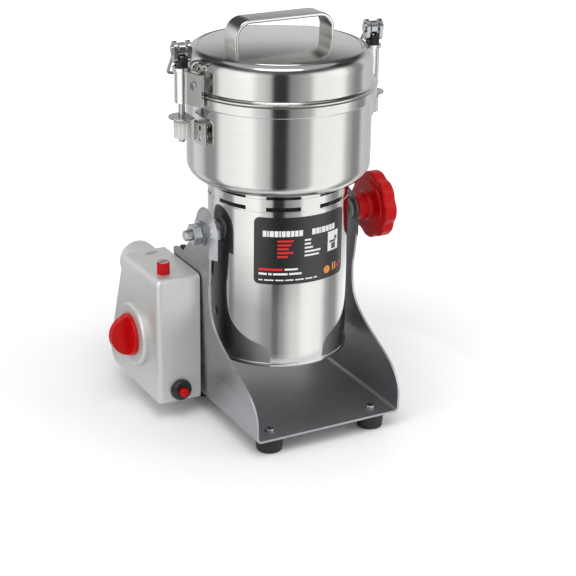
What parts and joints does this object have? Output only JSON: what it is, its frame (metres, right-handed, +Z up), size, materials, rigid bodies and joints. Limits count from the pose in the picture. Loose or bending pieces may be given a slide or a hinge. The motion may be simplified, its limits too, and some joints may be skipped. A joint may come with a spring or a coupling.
{
  "type": "electric grain mill",
  "caption": "Upright swing-type grain mill: tilting motor with a clamped steel bowl in a bent sheet stand, with a timer box on its side.",
  "frame": {"origin": "middle of the footprint's box on the surface that the feet stand on", "axes": "+Z up, -Y towards the open front of the stand, -X towards the control box"},
  "size_m": [0.2538, 0.2211, 0.3695],
  "materials": {
    "brushed_sheet": "brushed stainless sheet, dark grey, fine straight grain",
    "polished_stainless": "polished stainless steel",
    "satin_stainless": "satin stainless steel",
    "silver_paint": "silver paint on a casting",
    "black_rubber": "matt black rubber",
    "red_plastic": "glossy red moulded plastic",
    "black_plastic": "matt black moulded plastic",
    "white_nylon": "white nylon",
    "zinc_steel": "zinc-plated steel",
    "label_foil": "black printed foil label with no words",
    "lamination_steel": "stacked electrical steel",
    "enamelled_copper": "enamelled copper wire",
    "cast_aluminium": "cast aluminium",
    "carbon": "pressed carbon",
    "silicone": "dark silicone"
  },
  "bodies": {
    "base": {"stand_frame": "brushed_sheet", "rubber_feet": "black_rubber", "foot_screws": "zinc_steel", "pivot_bushes": "white_nylon", "stud_washers": "zinc_steel", "switch_box": "silver_paint", "box_cover": "silver_paint", "box_screws": "zinc_steel", "cord_gland": "black_plastic", "lead_grommet": "black_rubber", "timer_unit": "black_plastic", "fuse_holder": "black_plastic", "overload_protector": "black_plastic"},
    "motor_unit": {"motor_housing": "polished_stainless", "label_plate": "label_foil", "vent_collar": "polished_stainless", "bottom_cap": "black_plastic", "brush_holders": "enamelled_copper", "carbon_brushes": "carbon", "stator_core": "lamination_steel", "field_windings": "enamelled_copper", "end_plate": "cast_aluminium", "shaft_bearings": "zinc_steel", "pivot_stud": "zinc_steel", "stud_nut": "zinc_steel", "bowl": "polished_stainless", "shaft_seal": "silicone", "bowl_screws": "zinc_steel", "clamp_brackets": "satin_stainless"},
    "rotor": {"rotor_shaft": "satin_stainless", "rotor_core": "lamination_steel", "commutator": "enamelled_copper", "cooling_fan": "black_plastic", "lower_blade": "satin_stainless", "upper_blade": "satin_stainless", "blade_fasteners": "zinc_steel"},
    "lid": {"lid_shell": "polished_stainless", "lid_gasket": "silicone", "lid_handle": "polished_stainless", "clamp_lugs": "satin_stainless", "clamp_screw_left": "zinc_steel", "clamp_screw_right": "zinc_steel"},
    "lock_knob": {"lock_knob": "red_plastic", "lock_stud": "zinc_steel"},
    "timer_knob": {"timer_knob": "red_plastic", "timer_shaft": "satin_stainless"},
    "fuse_cap": {"fuse_cap": "red_plastic"},
    "reset_button": {"reset_button": "red_plastic"},
    "clamp_left": {"clamp_sleeve_left": "satin_stainless", "clamp_saddle_left": "black_plastic"},
    "rod_left": {"clamp_rod_left": "zinc_steel", "clamp_washer_left": "zinc_steel"},
    "lever_left": {"clamp_lever_left": "satin_stainless"},
    "nut_left": {"clamp_nut_left": "white_nylon"},
    "clamp_right": {"clamp_sleeve_right": "satin_stainless", "clamp_saddle_right": "black_plastic"},
    "rod_right": {"clamp_rod_right": "zinc_steel", "clamp_washer_right": "zinc_steel"},
    "lever_right": {"clamp_lever_right": "satin_stainless"},
    "nut_right": {"clamp_nut_right": "white_nylon"}
  },
  "joints": [
    {"name": "body_tilt", "type": "hinge", "parent": "base", "child": "motor_unit", "pos_m": [0.01725, -0.00805, 0.18], "axis": [1, 0, 0], "range_deg": [0, 100]},
    {"name": "rotor_spin", "type": "hinge", "parent": "motor_unit", "child": "rotor", "pos_m": [0.01725, -0.00805, 0.15], "axis": [0, 0, 1], "continuous": true},
    {"name": "lid_lift", "type": "slide", "parent": "motor_unit", "child": "lid", "axis": [0, 0, 1], "range_m": [0, 0.06]},
    {"name": "lock_knob_turn", "type": "hinge", "parent": "motor_unit", "child": "lock_knob", "pos_m": [0.01725, -0.00805, 0.18], "axis": [1, 0, 0], "range_deg": [0, 360]},
    {"name": "timer_knob_turn", "type": "hinge", "parent": "base", "child": "timer_knob", "pos_m": [-0.10775, 0.04445, 0.071], "axis": [1, 0, 0], "range_deg": [0, 300]},
    {"name": "fuse_cap_turn", "type": "hinge", "parent": "base", "child": "fuse_cap", "pos_m": [-0.08775, 0.01195, 0.145], "axis": [0, 0, 1], "range_deg": [0, 360]},
    {"name": "reset_button_press", "type": "slide", "parent": "base", "child": "reset_button", "axis": [0, 1, 0], "range_m": [0, 0.0025], "stiffness_N_per_m": 400, "springref_m": -0.002},
    {"name": "clamp_swing_left", "type": "hinge", "parent": "lid", "child": "clamp_left", "pos_m": [-0.0716, -0.02313, 0.3195], "axis": [0.9425, 0.3343, 0], "range_deg": [0, 15]},
    {"name": "rod_draw_left", "type": "slide", "parent": "clamp_left", "child": "rod_left", "axis": [0, 0, 1], "range_m": [0, 0.003]},
    {"name": "clamp_lever_left", "type": "hinge", "parent": "rod_left", "child": "lever_left", "pos_m": [-0.07695, -0.00805, 0.348], "axis": [0.9781, -0.2079, 0], "range_deg": [0, 120]},
    {"name": "clamp_nut_turn_left", "type": "hinge", "parent": "rod_left", "child": "nut_left", "pos_m": [-0.07695, -0.00805, 0.28], "axis": [0, 0, 1], "continuous": true},
    {"name": "clamp_swing_right", "type": "hinge", "parent": "lid", "child": "clamp_right", "pos_m": [0.1061, 0.00703, 0.3195], "axis": [-0.9425, -0.3343, 0], "range_deg": [0, 15]},
    {"name": "rod_draw_right", "type": "slide", "parent": "clamp_right", "child": "rod_right", "axis": [0, 0, 1], "range_m": [0, 0.003]},
    {"name": "clamp_lever_right", "type": "hinge", "parent": "rod_right", "child": "lever_right", "pos_m": [0.11145, -0.00805, 0.348], "axis": [0.9703, -0.2419, 0], "range_deg": [0, 120]},
    {"name": "clamp_nut_turn_right", "type": "hinge", "parent": "rod_right", "child": "nut_right", "pos_m": [0.11145, -0.00805, 0.28], "axis": [0, 0, 1], "continuous": true}
  ],
  "couplings": [
    {"joint": "clamp_lever_left", "follows": "rod_draw_left", "rad_per_m": 698.06},
    {"joint": "clamp_lever_right", "follows": "rod_draw_right", "rad_per_m": 698.06}
  ]
}
